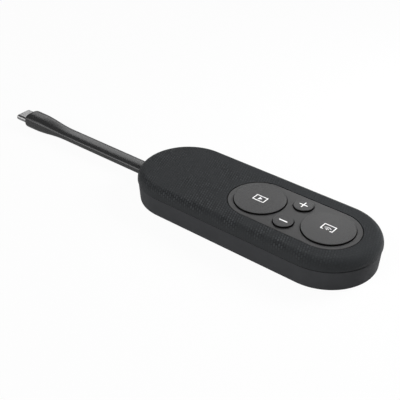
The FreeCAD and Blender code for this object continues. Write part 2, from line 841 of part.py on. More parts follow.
def cable_header():
    """Wire-side connector, with the wires crimped into its back."""
    high_z = header_z + header_height
    return block(header_x, header_x + header_length, -header_half, header_half, header_z, high_z)


def cable_socket():
    """Board-side socket that hangs under the board round the header's front."""
    front_x = header_x + header_length
    low_x = front_x - socket_overlap
    side = header_half + socket_wall
    shell = block(low_x, front_x + socket_back, -side, side, header_z - socket_floor, board_z)
    high_z = header_z + header_height + flange_gap
    half = header_half + flange_gap
    return shell.cut(block(low_x, front_x + flange_gap, -half, half, header_z - flange_gap, high_z))


def inner_wires():
    wires = []
    for step in range(wire_count):
        y = (step - (wire_count - 1) / 2) * wire_pitch
        wires.append(Part.makeCylinder(wire_radius, wire_length, V(jacket_end_x, y, wire_z), V(1, 0, 0)))
    return Part.makeCompound(wires)


def cable():
    """Free stretch of the flat cable, one straight run from the body to the plug's grip."""
    run = flat_bar(cable_end_x, cable_start_x, cable_width, cable_thickness)
    section = (cable_width - cable_thickness) * cable_thickness + pi * cable_thickness ** 2 / 4
    print("cable length", cable_length, "section times length", round(section * cable_length, 1),
          "volume", round(run.Volume, 1))
    return run


def plug_grip():
    """Overmoulded grip that flares out of the cable, with a rounded nose."""
    flare = []
    for step in range(flare_steps + 1):
        along = step / flare_steps
        grown = along * along * (3 - 2 * along)
        width = cable_width + grown * (grip_width - cable_width)
        thickness = cable_thickness + grown * (grip_thickness - cable_thickness)
        flare.append(flat_wire(cable_end_x - along * grip_flare, width, thickness))
    nose = []
    for turn in (0, 30, 60, 90):
        x = grip_front_x + nose_length * (1 - sin(radians(turn)))
        less = 2 * nose_round * (1 - cos(radians(turn)))
        nose.append(flat_wire(x, grip_width - less, grip_thickness - less))
    straight = flat_bar(grip_front_x + nose_length, cable_end_x - grip_flare, grip_width, grip_thickness)
    grip = joined([Part.makeLoft(flare, True, False), straight, Part.makeLoft(nose, True, True)])
    shell_room = flat_bar(grip_front_x - 1, shell_back_x, plug_shell_width + 2 * snug,
                          plug_shell_height + 2 * snug)
    half = card_width / 2 + snug
    thick = card_thickness / 2 + snug
    card_room = block(shell_back_x - 1, card_back_x, -half, half, cable_z - thick, cable_z + thick)
    return grip.cut(shell_room).cut(card_room)


def plug_shell():
    """Drawn steel shell of the reversible plug."""
    inner_width = plug_shell_width - 2 * plug_shell_wall
    inner_height = plug_shell_height - 2 * plug_shell_wall
    shell = flat_bar(shell_tip_x, shell_back_x, plug_shell_width, plug_shell_height)
    return shell.cut(flat_bar(shell_tip_x - 1, shell_back_x + 1, inner_width, inner_height))


def plug_insulator():
    """Moulded insert inside the shell, with the mouth for the socket's tongue."""
    width = plug_shell_width - 2 * (plug_shell_wall + snug)
    height = plug_shell_height - 2 * (plug_shell_wall + snug)
    insert = flat_bar(shell_tip_x + tip_setback, insert_back_x, width, height)
    low_z = cable_z - mouth_height / 2
    mouth_end_x = shell_tip_x + mouth_depth
    mouth = block(shell_tip_x, mouth_end_x, -mouth_half, mouth_half, low_z, low_z + mouth_height)
    return insert.cut(mouth)


def plug_contacts():
    """Spring contacts in two rows inside the mouth."""
    front_x = shell_tip_x + tip_setback + contact_front
    back_x = shell_tip_x + mouth_depth - contact_end
    strips = []
    for level in (-1, 1):
        wall_z = cable_z + level * mouth_height / 2
        low_z, high_z = sorted([wall_z, wall_z - level * contact_metal])
        for step in range(contact_count):
            low_y = (step - (contact_count - 1) / 2) * contact_pitch - contact_half
            strips.append(block(front_x, back_x, low_y, low_y + 2 * contact_half, low_z, high_z))
    return Part.makeCompound(strips)


def plug_card():
    """Small circuit card behind the insert, where the cable's wires are soldered."""
    half = card_width / 2
    low_z = cable_z - card_thickness / 2
    return block(insert_back_x, card_back_x, -half, half, low_z, low_z + card_thickness)


marks = {
    "present": present_mark(present_x, 0.0),
    "share": share_mark(share_x, 0.0),
    "volume_up": sign_mark(small_x, small_y, True),
    "volume_down": sign_mark(small_x, -small_y, False),
}

nodes = {
    "bottom_housing": bottom_housing(),
    "top_cover": top_cover(),
    "base_pad": base_pad(),
    "pad_tape": pad_tape(),
    "housing_screws": housing_screws(),
    "control_panel": control_panel(),
    "panel_glue": panel_glue(),
    "button_frame": button_frame(),
    "frame_screws": small_screws(frame_screw_places(), frame_z, 1, frame_shank_length),
    "switch_terminals": switch_terminals(),
    "main_board": main_board(),
    "board_screws": small_screws(board_screw_places(), board_top_z, -1, small_shank_length),
    "rf_shield": rf_shield(),
    "processor": on_board(shield_x, processor_shift, processor_size),
    "memory_chip": on_board(shield_x, memory_shift, memory_size),
    "thermal_pad": thermal_pad(),
    "heat_spreader": heat_spreader(),
    "wireless_module": wireless_module(),
    "antenna_near": antenna(-1),
    "antenna_far": antenna(1),
    "power_inductor": power_inductor(),
    "crystal": crystal(),
    "board_capacitors": board_capacitors(),
    "cable_header": cable_header(),
    "cable_socket": cable_socket(),
    "inner_wires": inner_wires(),
    "cable_tail": cable_tail(),
    "cable_grommet": cable_grommet(),
    "cable_clamp": cable_clamp(),
    "clamp_screws": small_screws(clamp_screw_places(), clamp_z + clamp_thickness, -1, small_shank_length),
    "cable": cable(),
    "plug_grip": plug_grip(),
    "plug_shell": plug_shell(),
    "plug_insulator": plug_insulator(),
    "plug_contacts": plug_contacts(),
    "plug_card": plug_card(),
}
for name, (x, y, kind) in buttons.items():
    nodes[name + "_cap"] = button_cap(x, y, kind).cut(marks[name])
    nodes[name + "_mark"] = marks[name]
    nodes[name + "_plunger"] = switch_plunger(x, y, kind)
    nodes[name + "_dome"] = switch_dome(x, y, kind)
    nodes[name + "_switch"] = switch_case(x, y, kind)

os.makedirs("parts", exist_ok=True)
for name, shape in nodes.items():
    if not shape.isValid():
        print(name, "is not a valid shape")
    shape.exportStep("parts/" + name + ".step")
print(len(nodes), "nodes written")
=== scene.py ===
import bpy
import bmesh
from math import asin, copysign, cos, degrees, hypot, pi, radians, sin
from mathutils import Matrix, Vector


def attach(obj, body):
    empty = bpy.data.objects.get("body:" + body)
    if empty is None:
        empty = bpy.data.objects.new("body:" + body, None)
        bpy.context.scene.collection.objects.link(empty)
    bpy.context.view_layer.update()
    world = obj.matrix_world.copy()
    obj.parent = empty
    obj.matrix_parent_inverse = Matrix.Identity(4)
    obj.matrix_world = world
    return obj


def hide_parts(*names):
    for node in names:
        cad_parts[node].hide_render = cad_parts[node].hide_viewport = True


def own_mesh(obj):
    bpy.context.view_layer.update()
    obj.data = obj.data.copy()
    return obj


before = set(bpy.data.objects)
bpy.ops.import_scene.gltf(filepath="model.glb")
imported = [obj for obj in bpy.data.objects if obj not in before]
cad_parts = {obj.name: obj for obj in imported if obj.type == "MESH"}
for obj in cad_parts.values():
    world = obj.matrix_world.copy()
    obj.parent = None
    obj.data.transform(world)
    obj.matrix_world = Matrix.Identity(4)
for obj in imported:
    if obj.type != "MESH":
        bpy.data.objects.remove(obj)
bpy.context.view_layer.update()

# View. The camera looks down from the button end's near side through a long lens.
# Its place was fitted to the outlines of the body, the panel and the four buttons.
camera_place = Vector((0.1625, -0.2307, 0.1969))
looked_at = Vector((-0.02762, 0.0, 0.0002))
turned = (looked_at - camera_place).to_track_quat("-Z", "Y").to_euler()
bpy.ops.object.select_all(action="DESELECT")
bpy.ops.object.camera_add(location=camera_place, rotation=turned)
camera = bpy.context.object
camera.name = "camera"
camera.data.lens = 77.04
camera.data.sensor_width = 36.0
bpy.context.scene.camera = camera

# Cable. A flat extruded elastomer jacket, 7.4 by 3.8 mm with round sides, that runs straight from
# the shell's end wall to the plug's grip. Its far end is moulded into the grip. Sizes are written
# in millimetres, and mm turns them into Blender's metres.
mm = 0.001
near = 0.001 * mm
sharp_angle = radians(35)
cable_z = 3.5
cable_start_x = -54.8
cable_end_x = -105.0
cable_width = 7.4
cable_thickness = 3.8
route_points = [(cable_start_x, 0.0, cable_z), (-80.0, 0.0, cable_z), (cable_end_x, 0.0, cable_z)]


def pick(kind, wanted):
    """Select the vertices, edges or faces of the piece in hand whose middle passes the test."""
    bpy.context.tool_settings.mesh_select_mode = (kind == "verts", kind == "edges", kind == "faces")
    shape = bmesh.from_edit_mesh(bpy.context.edit_object.data)
    for item in [*shape.verts, *shape.edges, *shape.faces]:
        item.select_set(False)
    for item in getattr(shape, kind):
        points = [item] if kind == "verts" else item.verts
        middle = sum((point.co for point in points), Vector()) / len(points)
        if wanted(middle, item):
            item.select_set(True)
    shape.select_flush_mode()
    bmesh.update_edit_mesh(bpy.context.edit_object.data)


def pulled_disc(name, place, radius, pull, facing=(0.0, 0.0, 0.0), count=128):
    """Filled disc, halved and pulled apart: the outline of every part with round ends."""
    place, pull = Vector(place), Vector(pull)
    bpy.ops.object.select_all(action="DESELECT")
    bpy.ops.mesh.primitive_circle_add(vertices=count, radius=radius, fill_type="NGON",
                                      rotation=(0, 0, pi / count))
    piece = bpy.context.object
    piece.name = name
    bpy.ops.object.transform_apply()
    piece.rotation_euler = facing
    piece.location = place
    bpy.ops.object.transform_apply()
    bpy.ops.object.mode_set(mode="EDIT")
    if pull.length > 0:
        for side in (-1, 1):
            pick("verts", lambda middle, item: side * (middle - place).dot(pull) > 0)
            bpy.ops.transform.translate(value=side * pull)
    bpy.ops.mesh.select_all(action="SELECT")
    return piece


def done(piece):
    """Leave edit mode with the faces turned outwards and shaded smooth but for sharp edges."""
    bpy.ops.mesh.select_all(action="SELECT")
    bpy.ops.mesh.remove_doubles(threshold=near / 10)
    bpy.ops.mesh.normals_make_consistent(inside=False)
    bpy.ops.object.mode_set(mode="OBJECT")
    bpy.ops.object.shade_smooth_by_angle(angle=sharp_angle)
    return piece


def flat_bar(name, rings, count=64):
    """Bar along X through rings of place, width and thickness, with fully round sides."""
    rings = [[part * mm for part in ring] for ring in rings]
    x, width, thickness = rings[0]
    spread = (0, (width - thickness) / 2, 0)
    bar = pulled_disc(name, (x, 0, cable_z * mm), thickness / 2, spread, (0, -pi / 2, 0), count)
    for (x0, width0, thickness0), (x1, width1, thickness1) in zip(rings, rings[1:]):
        bpy.ops.mesh.extrude_region_move(TRANSFORM_OT_translate={"value": (x1 - x0, 0, 0)})
        grown = thickness1 / thickness0
        bpy.ops.transform.resize(value=(1, grown, grown), center_override=(x1, 0, cable_z * mm))
        aside = (width1 - thickness1) / 2 - grown * (width0 - thickness0) / 2
        for side in (-1, 1):
            pick("verts", lambda middle, item: abs(middle.x - x1) < near and side * middle.y > 0)
            bpy.ops.transform.translate(value=(0, side * aside, 0))
        pick("verts", lambda middle, item: abs(middle.x - x1) < near)
        bpy.context.tool_settings.mesh_select_mode = (False, False, True)
    return done(bar)


def crowned_bar(name, rings, count=96, fullness=2.85):
    """Bar along X through rings of place, width and thickness, with a softly crowned top."""
    rings = [[part * mm for part in ring] for ring in rings]
    x, width, thickness = rings[0]
    bar = pulled_disc(name, (x, 0, cable_z * mm), thickness / 2, (0, 0, 0), (0, -pi / 2, 0), count)
    for step in range(count):
        turn = 2 * pi * (step + 0.5) / count
        start = Vector((x, cos(turn) * thickness / 2, cable_z * mm + sin(turn) * thickness / 2))
        pick("verts", lambda middle, item: (middle - start).length < near)
        wide = copysign(width / 2 * abs(cos(turn)) ** (2 / fullness), cos(turn))
        high = copysign(thickness / 2 * abs(sin(turn)) ** (2 / fullness), sin(turn))
        bpy.ops.transform.translate(value=(0, wide - start.y, cable_z * mm + high - start.z))
    pick("faces", lambda middle, item: True)
    for (x0, width0, thickness0), (x1, width1, thickness1) in zip(rings, rings[1:]):
        bpy.ops.mesh.extrude_region_move(TRANSFORM_OT_translate={"value": (x1 - x0, 0, 0)})
        bpy.ops.transform.resize(value=(1, width1 / width0, thickness1 / thickness0),
                                 center_override=(x1, 0, cable_z * mm))
    return done(bar)


def surface(name, colour, roughness, metallic=0.0, specular=0.5):
    """New material, with the numbers that are the same all over it."""
    made = bpy.data.materials.new(name)
    made.use_nodes = True
    shader = made.node_tree.nodes["Principled BSDF"]
    shader.inputs["Base Color"].default_value = (*colour, 1)
    shader.inputs["Roughness"].default_value = roughness
    shader.inputs["Metallic"].default_value = metallic
    shader.inputs["Specular IOR Level"].default_value = specular
    return made


def add(made, kind, settings=None, **inputs):
    """Add a node to a material. An input is a number, a colour or another node's output."""
    item = made.node_tree.nodes.new("ShaderNode" + kind)
    for key, value in (settings or {}).items():
        setattr(item, key, value)
    for key, value in inputs.items():
        socket = item.inputs[int(key[1:])] if key[1:].isdigit() else item.inputs[key.replace("_", " ")]
        if isinstance(value, bpy.types.NodeSocket):
            made.node_tree.links.new(value, socket)
        else:
            socket.default_value = value
    return item


def into(made, **inputs):
    """Link outputs to the material's own shader."""
    shader = made.node_tree.nodes["Principled BSDF"]
    for key, value in inputs.items():
        made.node_tree.links.new(value, shader.inputs[key.replace("_", " ")])


def follow(made, value, low, high, start=0.0, end=1.0, bend="LINEAR"):
    """Output that runs from low to high while a value goes from start to end."""
    return add(made, "MapRange", {"interpolation_type": bend}, Value=value, From_Min=start,
               From_Max=end, To_Min=low, To_Max=high).outputs[0]


def varied(made, pattern, colour, uneven):
    """Colour that a pattern moves between a darker and a lighter tone."""
    low = (*[part * (1 - uneven) for part in colour], 1)
    high = (*[min(1, part * (1 + uneven)) for part in colour], 1)
    return add(made, "Mix", {"data_type": "RGBA"}, _0=pattern, _6=low, _7=high).outputs[2]


def moulded(name, colour, roughness, grain, depth, uneven=0.12, specular=0.5):
    """Moulded plastic or rubber: fine sparked grain, and cloudy changes of tone and gloss."""
    grain, depth = grain * mm, depth * mm
    gloss_change = 0.05
    cloud_size = 40 * grain
    made = surface(name, colour, roughness, specular=specular)
    place = add(made, "TexCoord").outputs["Object"]
    fine = add(made, "TexNoise", Vector=place, Scale=1 / grain, Detail=3.0, Roughness=0.6).outputs["Fac"]
    cloud = add(made, "TexNoise", Vector=place, Scale=1 / cloud_size, Detail=4.0, Roughness=0.55)
    tone = varied(made, cloud.outputs["Fac"], colour, uneven)
    gloss = follow(made, fine, roughness - gloss_change, roughness + gloss_change)
    relief = add(made, "Bump", Strength=1.0, Distance=depth, Height=fine)
    into(made, Base_Color=tone, Roughness=gloss, Normal=relief.outputs[0])
    return made


def take(piece):
    """Make a piece the only one selected, and the one in hand."""
    bpy.ops.object.select_all(action="DESELECT")
    piece.select_set(True)
    bpy.context.view_layer.objects.active = piece


def even_out(piece):
    """Let the large faces of a piece rule its smooth shading, so that flat faces look flat."""
    take(piece)
    even = piece.modifiers.new("even", "WEIGHTED_NORMAL")
    even.keep_sharp = True
    bpy.ops.object.modifier_apply(modifier=even.name)


def dress(piece, made, body, node):
    """Even out a piece's shading, give it its one material and its body, and hide the CAD node it stands
    for.
    """
    even_out(piece)
    piece.data.materials.clear()
    piece.data.materials.append(made)
    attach(piece, body)
    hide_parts(node)


bpy.ops.object.select_all(action="DESELECT")
bpy.ops.curve.primitive_nurbs_path_add()
guide = bpy.context.object
guide.data.splines.clear()
route = guide.data.splines.new("NURBS")
route.points.add(len(route_points) - 1)
for point, place in zip(route.points, route_points):
    point.co = (*[part * mm for part in place], 1)
route.order_u = 3
route.use_endpoint_u = True
route_mesh = bpy.data.meshes.new_from_object(guide)
followed = [Vector(point.co) for point in route_mesh.vertices]
bpy.data.objects.remove(guide)
bpy.data.meshes.remove(route_mesh)
cable = crowned_bar("flat_cable", [(point.x / mm, cable_width, cable_thickness) for point in followed])
jacket = moulded("cable_jacket", (0.02, 0.02, 0.0205), 0.25, 0.15, 0.0001, specular=0.45)
dress(cable, jacket, "housing", "cable")

# Plug grip. A satin elastomer, moulded over the cable's end and the back of the plug's shell. It
# swells smoothly out of the cable, and its nose is rounded.
grip_width = 9.5
grip_thickness = 6.8
grip_full_x = -128.0
grip_nose_x = -131.0
grip_front_x = -132.2
grip_nose_inset = 0.45
shell_width = 8.34
shell_height = 2.56
shell_back_x = -126.0
shell_play = 0.04
past_nose_x = -133.0


def stepped(width, thickness, steps):
    """Rings of one width and thickness, but for what each step takes off both of them."""
    return [(x, width - less, thickness - less) for x, less in steps]


def straight_bar(name, x0, x1, width, thickness):
    """Flat bar of one size from end to end."""
    return flat_bar(name, stepped(width, thickness, [(x0, 0), (x1, 0)]))


def cut(piece, *cutters, work="DIFFERENCE"):
    """Cut other pieces out of a piece, or add them to it, and throw them away."""
    for cutter in cutters:
        take(piece)
        gouge = piece.modifiers.new("cut", "BOOLEAN")
        gouge.operation = work
        gouge.solver = "EXACT"
        gouge.object = cutter
        bpy.ops.object.modifier_apply(modifier=gouge.name)
        bpy.data.objects.remove(cutter)
    bpy.ops.mesh.customdata_custom_splitnormals_clear()
    bpy.ops.object.shade_smooth_by_angle(angle=sharp_angle)
    return piece


grip_rings = []
for step in range(17):
    along = step / 16
    grown = along ** 3 * (10 - 15 * along + 6 * along * along)
    grip_rings.append((cable_end_x + (grip_full_x - cable_end_x) * along,
                       cable_width + (grip_width - cable_width) * grown,
                       cable_thickness + (grip_thickness - cable_thickness) * grown))
nose_length = grip_nose_x - grip_front_x
nose = [(grip_nose_x - nose_length * sin(radians(turn)), 2 * grip_nose_inset * (1 - cos(radians(turn))))
        for turn in (0, 15, 30, 45, 60, 75, 90)]
grip = crowned_bar("plug_grip_cover", [*grip_rings, *stepped(grip_width, grip_thickness, nose)])
cut(grip, straight_bar("shell_room", shell_back_x, past_nose_x, shell_width + shell_play,
                       shell_height + shell_play))
bpy.ops.object.mode_set(mode="EDIT")
pick("edges", lambda middle, item: abs(middle.x - grip_front_x * mm) < near)
bpy.ops.mesh.mark_sharp()
bpy.ops.object.mode_set(mode="OBJECT")
grip_finish = moulded("grip_satin", (0.021, 0.021, 0.0215), 0.26, 0.15, 0.0001, specular=0.38)
dress(grip, grip_finish, "housing", "plug_grip")

# Plug shell. Drawn steel 0.25 mm thick, nickel plated and faintly brushed along its length, with
# a lip that is rolled in a little at the open end. The grip holds its back half.
shell_wall = 0.25
shell_lip = [(-138.0, 0), (-138.2, 0.04), (-138.33, 0.14), (-138.4, 0.3)]


def thicken(skin, thickness):
    """Leave edit mode and give a skin its thickness, inwards or downwards."""
    bpy.ops.object.mode_set(mode="OBJECT")
    wall = skin.modifiers.new("wall", "SOLIDIFY")
    wall.thickness = thickness * mm
    wall.offset = -1.0
    bpy.ops.object.modifier_apply(modifier=wall.name)
    return skin


def reckon(made, operation, first, second):
    """Output of a sum on two numbers or outputs."""
    return add(made, "Math", {"operation": operation}, _0=first, _1=second).outputs[0]


def brushed(name, colour, roughness, along, streak=0.06):
    """Bare metal with fine scratches along one axis and slightly cloudy gloss."""
    gloss_change = 0.04
    across_scale, along_scale = 14000.0, 500.0
    made = surface(name, colour, roughness, metallic=1.0)
    place = add(made, "TexCoord").outputs["Object"]
    stretch = [along_scale if axis == along else across_scale for axis in "xyz"]
    drawn = add(made, "Mapping", Vector=place, Scale=stretch).outputs[0]
    lines = add(made, "TexNoise", Vector=drawn, Scale=1.0, Detail=4.0).outputs["Fac"]
    cloud = add(made, "TexNoise", Vector=place, Scale=600.0, Detail=3.0).outputs["Fac"]
    tone = varied(made, lines, colour, streak)
    both = reckon(made, "ADD", lines, cloud)
    gloss = follow(made, both, roughness - gloss_change, roughness + gloss_change, end=2.0)
    relief = add(made, "Bump", Strength=0.1, Distance=0.0001 * mm, Height=lines)
    into(made, Base_Color=tone, Roughness=gloss, Normal=relief.outputs[0])
    return made


shell_rings = stepped(shell_width, shell_height, [(shell_back_x, 0), (grip_front_x, 0), *shell_lip])
plug_shell = flat_bar("plug_steel_shell", shell_rings, count=96)
bpy.ops.object.mode_set(mode="EDIT")
pick("faces", lambda middle, item: abs(item.normal.x) > 0.99)
bpy.ops.mesh.delete(type="FACE")
thicken(plug_shell, shell_wall)
bpy.ops.object.shade_smooth_by_angle(angle=sharp_angle)
nickel = brushed("plug_steel", (0.32, 0.32, 0.32), 0.26, "x", streak=0.02)
dress(plug_shell, nickel, "housing", "plug_shell")

# Plug insert. A black moulding pressed into the shell. Its mouth takes the socket's tongue, with a
# row of gold-plated spring contacts above and below.
insert_width = 7.8
insert_height = 2.02
insert_steps = [(-127.0, 0), (-137.75, 0), (-137.9, 0.2)]
mouth_back_x = -132.4
mouth_width = 6.7
mouth_height = 1.2
past_mouth_x = -139.0


def coat(made, *names):
    """Give CAD nodes whose shape is right a finish of their own."""
    for name in names:
        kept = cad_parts[name]
        kept.data.materials.clear()
        kept.data.materials.append(made)


insert = flat_bar("plug_insert", stepped(insert_width, insert_height, insert_steps))
cut(insert, straight_bar("mouth", mouth_back_x, past_mouth_x, mouth_width, mouth_height))
insert_black = moulded("plug_insert", (0.02, 0.02, 0.02), 0.45, 0.08, 0.003)
dress(insert, insert_black, "housing", "plug_insulator")
coat(brushed("contact_gold", (0.83, 0.6, 0.25), 0.28, "x"), "plug_contacts")

# Circuit boards. Glass-fibre laminate under glossy green lacquer: a small card in the grip, soldered
# to the contacts, and the main board, which four screws hold in the lower shell.
track = 0.9


def solder_mask(name, colour):
    """Glossy lacquer over a fine maze of copper tracks."""
    made = surface(name, colour, 0.35)
    place = add(made, "TexCoord").outputs["Object"]
    tracks = add(made, "TexBrick", {"offset": 0.37}, Vector=place, Color1=(0, 0, 0, 1),
                 Color2=(0.3, 0.3, 0.3, 1), Mortar=(1, 1, 1, 1), Scale=1 / (track * mm),
                 Mortar_Size=0.12, Brick_Width=5.0, Row_Height=0.7).outputs["Fac"]
    light = (*[min(1, part * 1.7) for part in colour], 1)
    tone = add(made, "Mix", {"data_type": "RGBA"}, _0=tracks, _6=(*colour, 1), _7=light)
    relief = add(made, "Bump", Strength=0.5, Distance=0.01 * mm, Height=tracks)
    into(made, Base_Color=tone.outputs[2], Normal=relief.outputs[0])
    return made


coat(solder_mask("board", (0.012, 0.09, 0.04)), "plug_card", "main_board")

# Grommet. A rubber collar that lines the cable's way through the shell's end wall. Its flange
# lies inside the wall and keeps it from pulling out.
collar_width = 8.8
collar_thickness = 5.2
collar_back_x = -50.8
flange_front_x = -51.35
flange_size = (11.0, 7.4)
flange_foot_z = 1.62
cable_play = 0.04
bore_ends_x = (-50.0, -56.0)
collar_steps = [(collar_back_x, 0), (-54.5, 0), (-54.68, 0.1), (-54.78, 0.3), (cable_start_x, 0.6)]
grommet = flat_bar("cable_collar", stepped(collar_width, collar_thickness, collar_steps))
flange = straight_bar("collar_flange", collar_back_x, flange_front_x, *flange_size)
bpy.ops.object.mode_set(mode="EDIT")
bpy.ops.mesh.select_all(action="SELECT")
bpy.ops.mesh.bisect(plane_co=(0, 0, flange_foot_z * mm), plane_no=(0, 0, 1), use_fill=True,
                    clear_inner=True)
done(flange)
cut(grommet, flange, work="UNION")
cut(grommet, straight_bar("cable_bore", *bore_ends_x, cable_width + cable_play,
                          cable_thickness + cable_play))
collar_rubber = moulded("grommet", (0.014, 0.014, 0.0145), 0.5, 0.1, 0.004)
dress(grommet, collar_rubber, "housing", "cable_grommet")

# Studio. A pale floor, a low pale wall all round and five soft boxes, none of them part of the
# object. The floor keeps the object's shadow. Its sizes are in metres.
floor_colour = (0.68, 0.68, 0.68)
seen_white = 0.95
mirrored_white = 0.17
floor_width = 8.0
wall_radius = 3.6
wall_height = 1.2


def studio_white(name):
    """Pale paint that cameras and reflections see as white, mixed with its own lit colour."""
    made = surface(name, floor_colour, 0.9, specular=0.0)
    path = add(made, "LightPath").outputs
    mirrored = reckon(made, "MAXIMUM", path["Is Glossy Ray"], path["Is Transmission Ray"])
    mirror_share = reckon(made, "MULTIPLY", mirrored, mirrored_white)
    camera_share = reckon(made, "MULTIPLY", path["Is Camera Ray"], seen_white)
    share = reckon(made, "MAXIMUM", mirror_share, camera_share)
    glow = add(made, "Emission", Color=(1, 1, 1, 1), Strength=1.0).outputs[0]
    paint = made.node_tree.nodes["Principled BSDF"].outputs[0]
    both = add(made, "MixShader", _0=share, _1=paint, _2=glow).outputs[0]
    behind = add(made, "NewGeometry").outputs["Backfacing"]
    clear = add(made, "BsdfTransparent").outputs[0]
    last = add(made, "MixShader", _0=behind, _1=both, _2=clear).outputs[0]
    made.node_tree.links.new(last, made.node_tree.nodes["Material Output"].inputs["Surface"])
    return made


def lamp(name, place, size, power, aim=(0, 0, 0), in_gloss=True, in_tone=True):
    """Soft box at a place, turned to face its aim. It can light only matt tones, or only gloss."""
    turn = (Vector(aim) - Vector(place)).to_track_quat("-Z", "Y").to_euler()
    bpy.ops.object.light_add(type="AREA", location=place, rotation=turn)
    box = bpy.context.object
    box.name = name
    box.data.shape = "RECTANGLE"
    box.data.size, box.data.size_y = size
    box.data.energy = power
    box.visible_camera = False
    box.visible_glossy = in_gloss
    box.visible_diffuse = in_tone


bpy.ops.object.select_all(action="DESELECT")
bpy.ops.mesh.primitive_plane_add(size=floor_width)
floor = bpy.context.object
floor.name = "floor"
floor.data.materials.append(studio_white("studio_floor"))
bpy.ops.mesh.primitive_cylinder_add(vertices=96, radius=wall_radius, depth=wall_height,
                                    end_fill_type="NOTHING", location=(0, 0, wall_height / 2))
studio_wall = bpy.context.object
studio_wall.name = "studio_wall"
bpy.ops.object.mode_set(mode="EDIT")
bpy.ops.mesh.select_all(action="SELECT")
bpy.ops.mesh.flip_normals()
bpy.ops.object.mode_set(mode="OBJECT")
studio_wall.data.materials.append(studio_white("studio_wall"))

world = bpy.data.worlds.new("studio")
bpy.context.scene.world = world
world.use_nodes = True
world.node_tree.nodes["Background"].inputs["Color"].default_value = (0.15, 0.15, 0.152, 1)
world.node_tree.nodes["Background"].inputs["Strength"].default_value = 1.0
lamp("key_box", (-0.4, -1.34, 1.02), (1.0, 1.0), 25.0, in_gloss=False)
lamp("front_box", (-0.72, -0.8, 0.5), (0.5, 0.7), 3.4, in_tone=False)
lamp("cable_box", (-0.844, 0.805, 0.56), (0.44, 0.36), 1.0)
lamp("panel_box", (-0.495, 0.965, 0.69), (0.18, 0.12), 0.335)
lamp("right_box", (0.12, 0.17, 0.15), (0.12, 0.12), 0.85, aim=(0.05, 0.01, 0), in_gloss=False)
bpy.context.scene.view_settings.view_transform = "Standard"

# Lower shell. Moulded plastic with a fine matt spark finish; its wall leans in towards the foot.
# The lip inside its upper edge locates the cover, and the step outside it leaves a thin gap whose walls
# are painted near-black as shade.
half_straight = 34.0
seam_z = 9.02
gap_foot_z = 8.52
pad_recess_z = 0.7
shell_foot_z = 0.2


def walk(rings, facing):
    """Inset the selected face from ring to ring, each a radius and a height. It faces up or down."""
    for (radius0, z0), (radius1, z1) in zip(rings, rings[1:]):
        bpy.ops.mesh.inset(thickness=radius0 - radius1, depth=facing * (z1 - z0))


def arc(middle, reach, first, last, steps):
    """Rings on a part of an ellipse round a middle of radius and height, between two angles."""
    turns = [radians(first + (last - first) * step / steps) for step in range(steps + 1)]
    return [(middle[0] + reach[0] * cos(turn), middle[1] + reach[1] * sin(turn)) for turn in turns]


def pill(name, left, right, y, above, below=(), count=128):
    """Part with round ends. Its walls go from the widest ring over the top, then under the foot."""
    above = [(radius * mm, z * mm) for radius, z in above]
    below = [above[0], *[(radius * mm, z * mm) for radius, z in below]]
    start_radius, start_z = above[0]
    middle = ((left + right) / 2 * mm, y * mm, start_z)
    piece = pulled_disc(name, middle, start_radius, ((right - left) / 2 * mm, 0, 0), count=count)
    walk(above, 1)
    pick("edges", lambda middle, item: item.is_boundary)
    bpy.ops.mesh.edge_face_add()
    bpy.ops.mesh.select_all(action="SELECT")
    bpy.ops.mesh.normals_make_consistent(inside=False)
    pick("faces", lambda middle, item: abs(middle.z - start_z) < near and item.normal.z < -0.5)
    walk(below, -1)
    return done(piece)


def paint_shade_black(piece, wanted):
    """Paint faces near-black as painted shade: the walls inside narrow gaps and the sides of the caps."""
    piece.data.materials.append(painted_shade_black)
    for face in piece.data.polygons:
        if wanted(face.center / mm, face.normal):
            face.material_index = 1


step_rings = [(20.72, 8.38), (20.64, 8.48), (20.54, gap_foot_z), (20.3, 8.54), (20.3, seam_z)]
lip_rings = [(19.6, seam_z), (19.6, 10.12), (19.5, 10.22), (18.75, 10.22), (18.15, 1.6)]
foot_rings = [*arc((19.85, 0.5), (0.3, 0.3), 0, -90, 5), (16.75, shell_foot_z), (16.75, pad_recess_z)]
lower_shell = pill("lower_shell", -half_straight, half_straight, 0.0, [*step_rings, *lip_rings],
                   foot_rings)
cut(lower_shell, straight_bar("cable_way", *bore_ends_x, collar_width + cable_play,
                              collar_thickness + cable_play))
shell_finish = moulded("shell_plastic", (0.044, 0.045, 0.0475), 0.52, 0.16, 0.003, specular=0.03)
# Painted shade: a near-black finish for the walls inside narrow gaps and for the caps' sides, where shade
# falls.
painted_shade_black = moulded("painted_shade_black", (0.003, 0.003, 0.003), 0.7, 0.1, 0.003, specular=0.1)
dress(lower_shell, shell_finish, "housing", "bottom_housing")
# Painted shade: the walls of the gap under the cover's edge are painted near-black.
paint_shade_black(lower_shell, lambda middle, normal: gap_foot_z < middle.z < seam_z + 0.08)

# Cover. Moulded in one piece with a crisp texture of short slanting ribs, like a fine weave.
# Its edge rolls over to the seam, and a pocket round the buttons takes the panel.
flat_radius = 17.4
edge_reach = 3.6
edge_rise = 4.08
panel_left_x = 2.9
panel_right_x = 34.2
pocket_radius = 13.02
pocket_floor_z = 11.75
well_radius = 11.9
over_cover_z = 13.5
under_cover_z = 10.5
rib_length = 1.55
rib_pitch = 1.02
rib_gap = 0.25
rib_turn = radians(-111)


def rolled_length(radius):
    """Length along the cover's rolled edge from its flat top out to a radius."""
    share = min(1.0, (radius - flat_radius) / edge_reach)
    steps = 24
    length = 0.0
    for step in range(steps):
        across = [share * (step + part) / steps for part in (0, 1)]
        rise = [edge_rise * (1 - part * part) ** 0.5 for part in across]
        length += hypot(edge_reach * (across[1] - across[0]), rise[1] - rise[0])
    return length


def unrolled(place):
    """Where a point of the cover falls when the rolled edge is laid flat."""
    middle_x = max(-half_straight, min(half_straight, place.x))
    out = Vector((place.x - middle_x, place.y))
    if out.length < flat_radius:
        return place.xy
    return Vector((middle_x, 0)) + out.normalized() * (flat_radius + rolled_length(out.length))


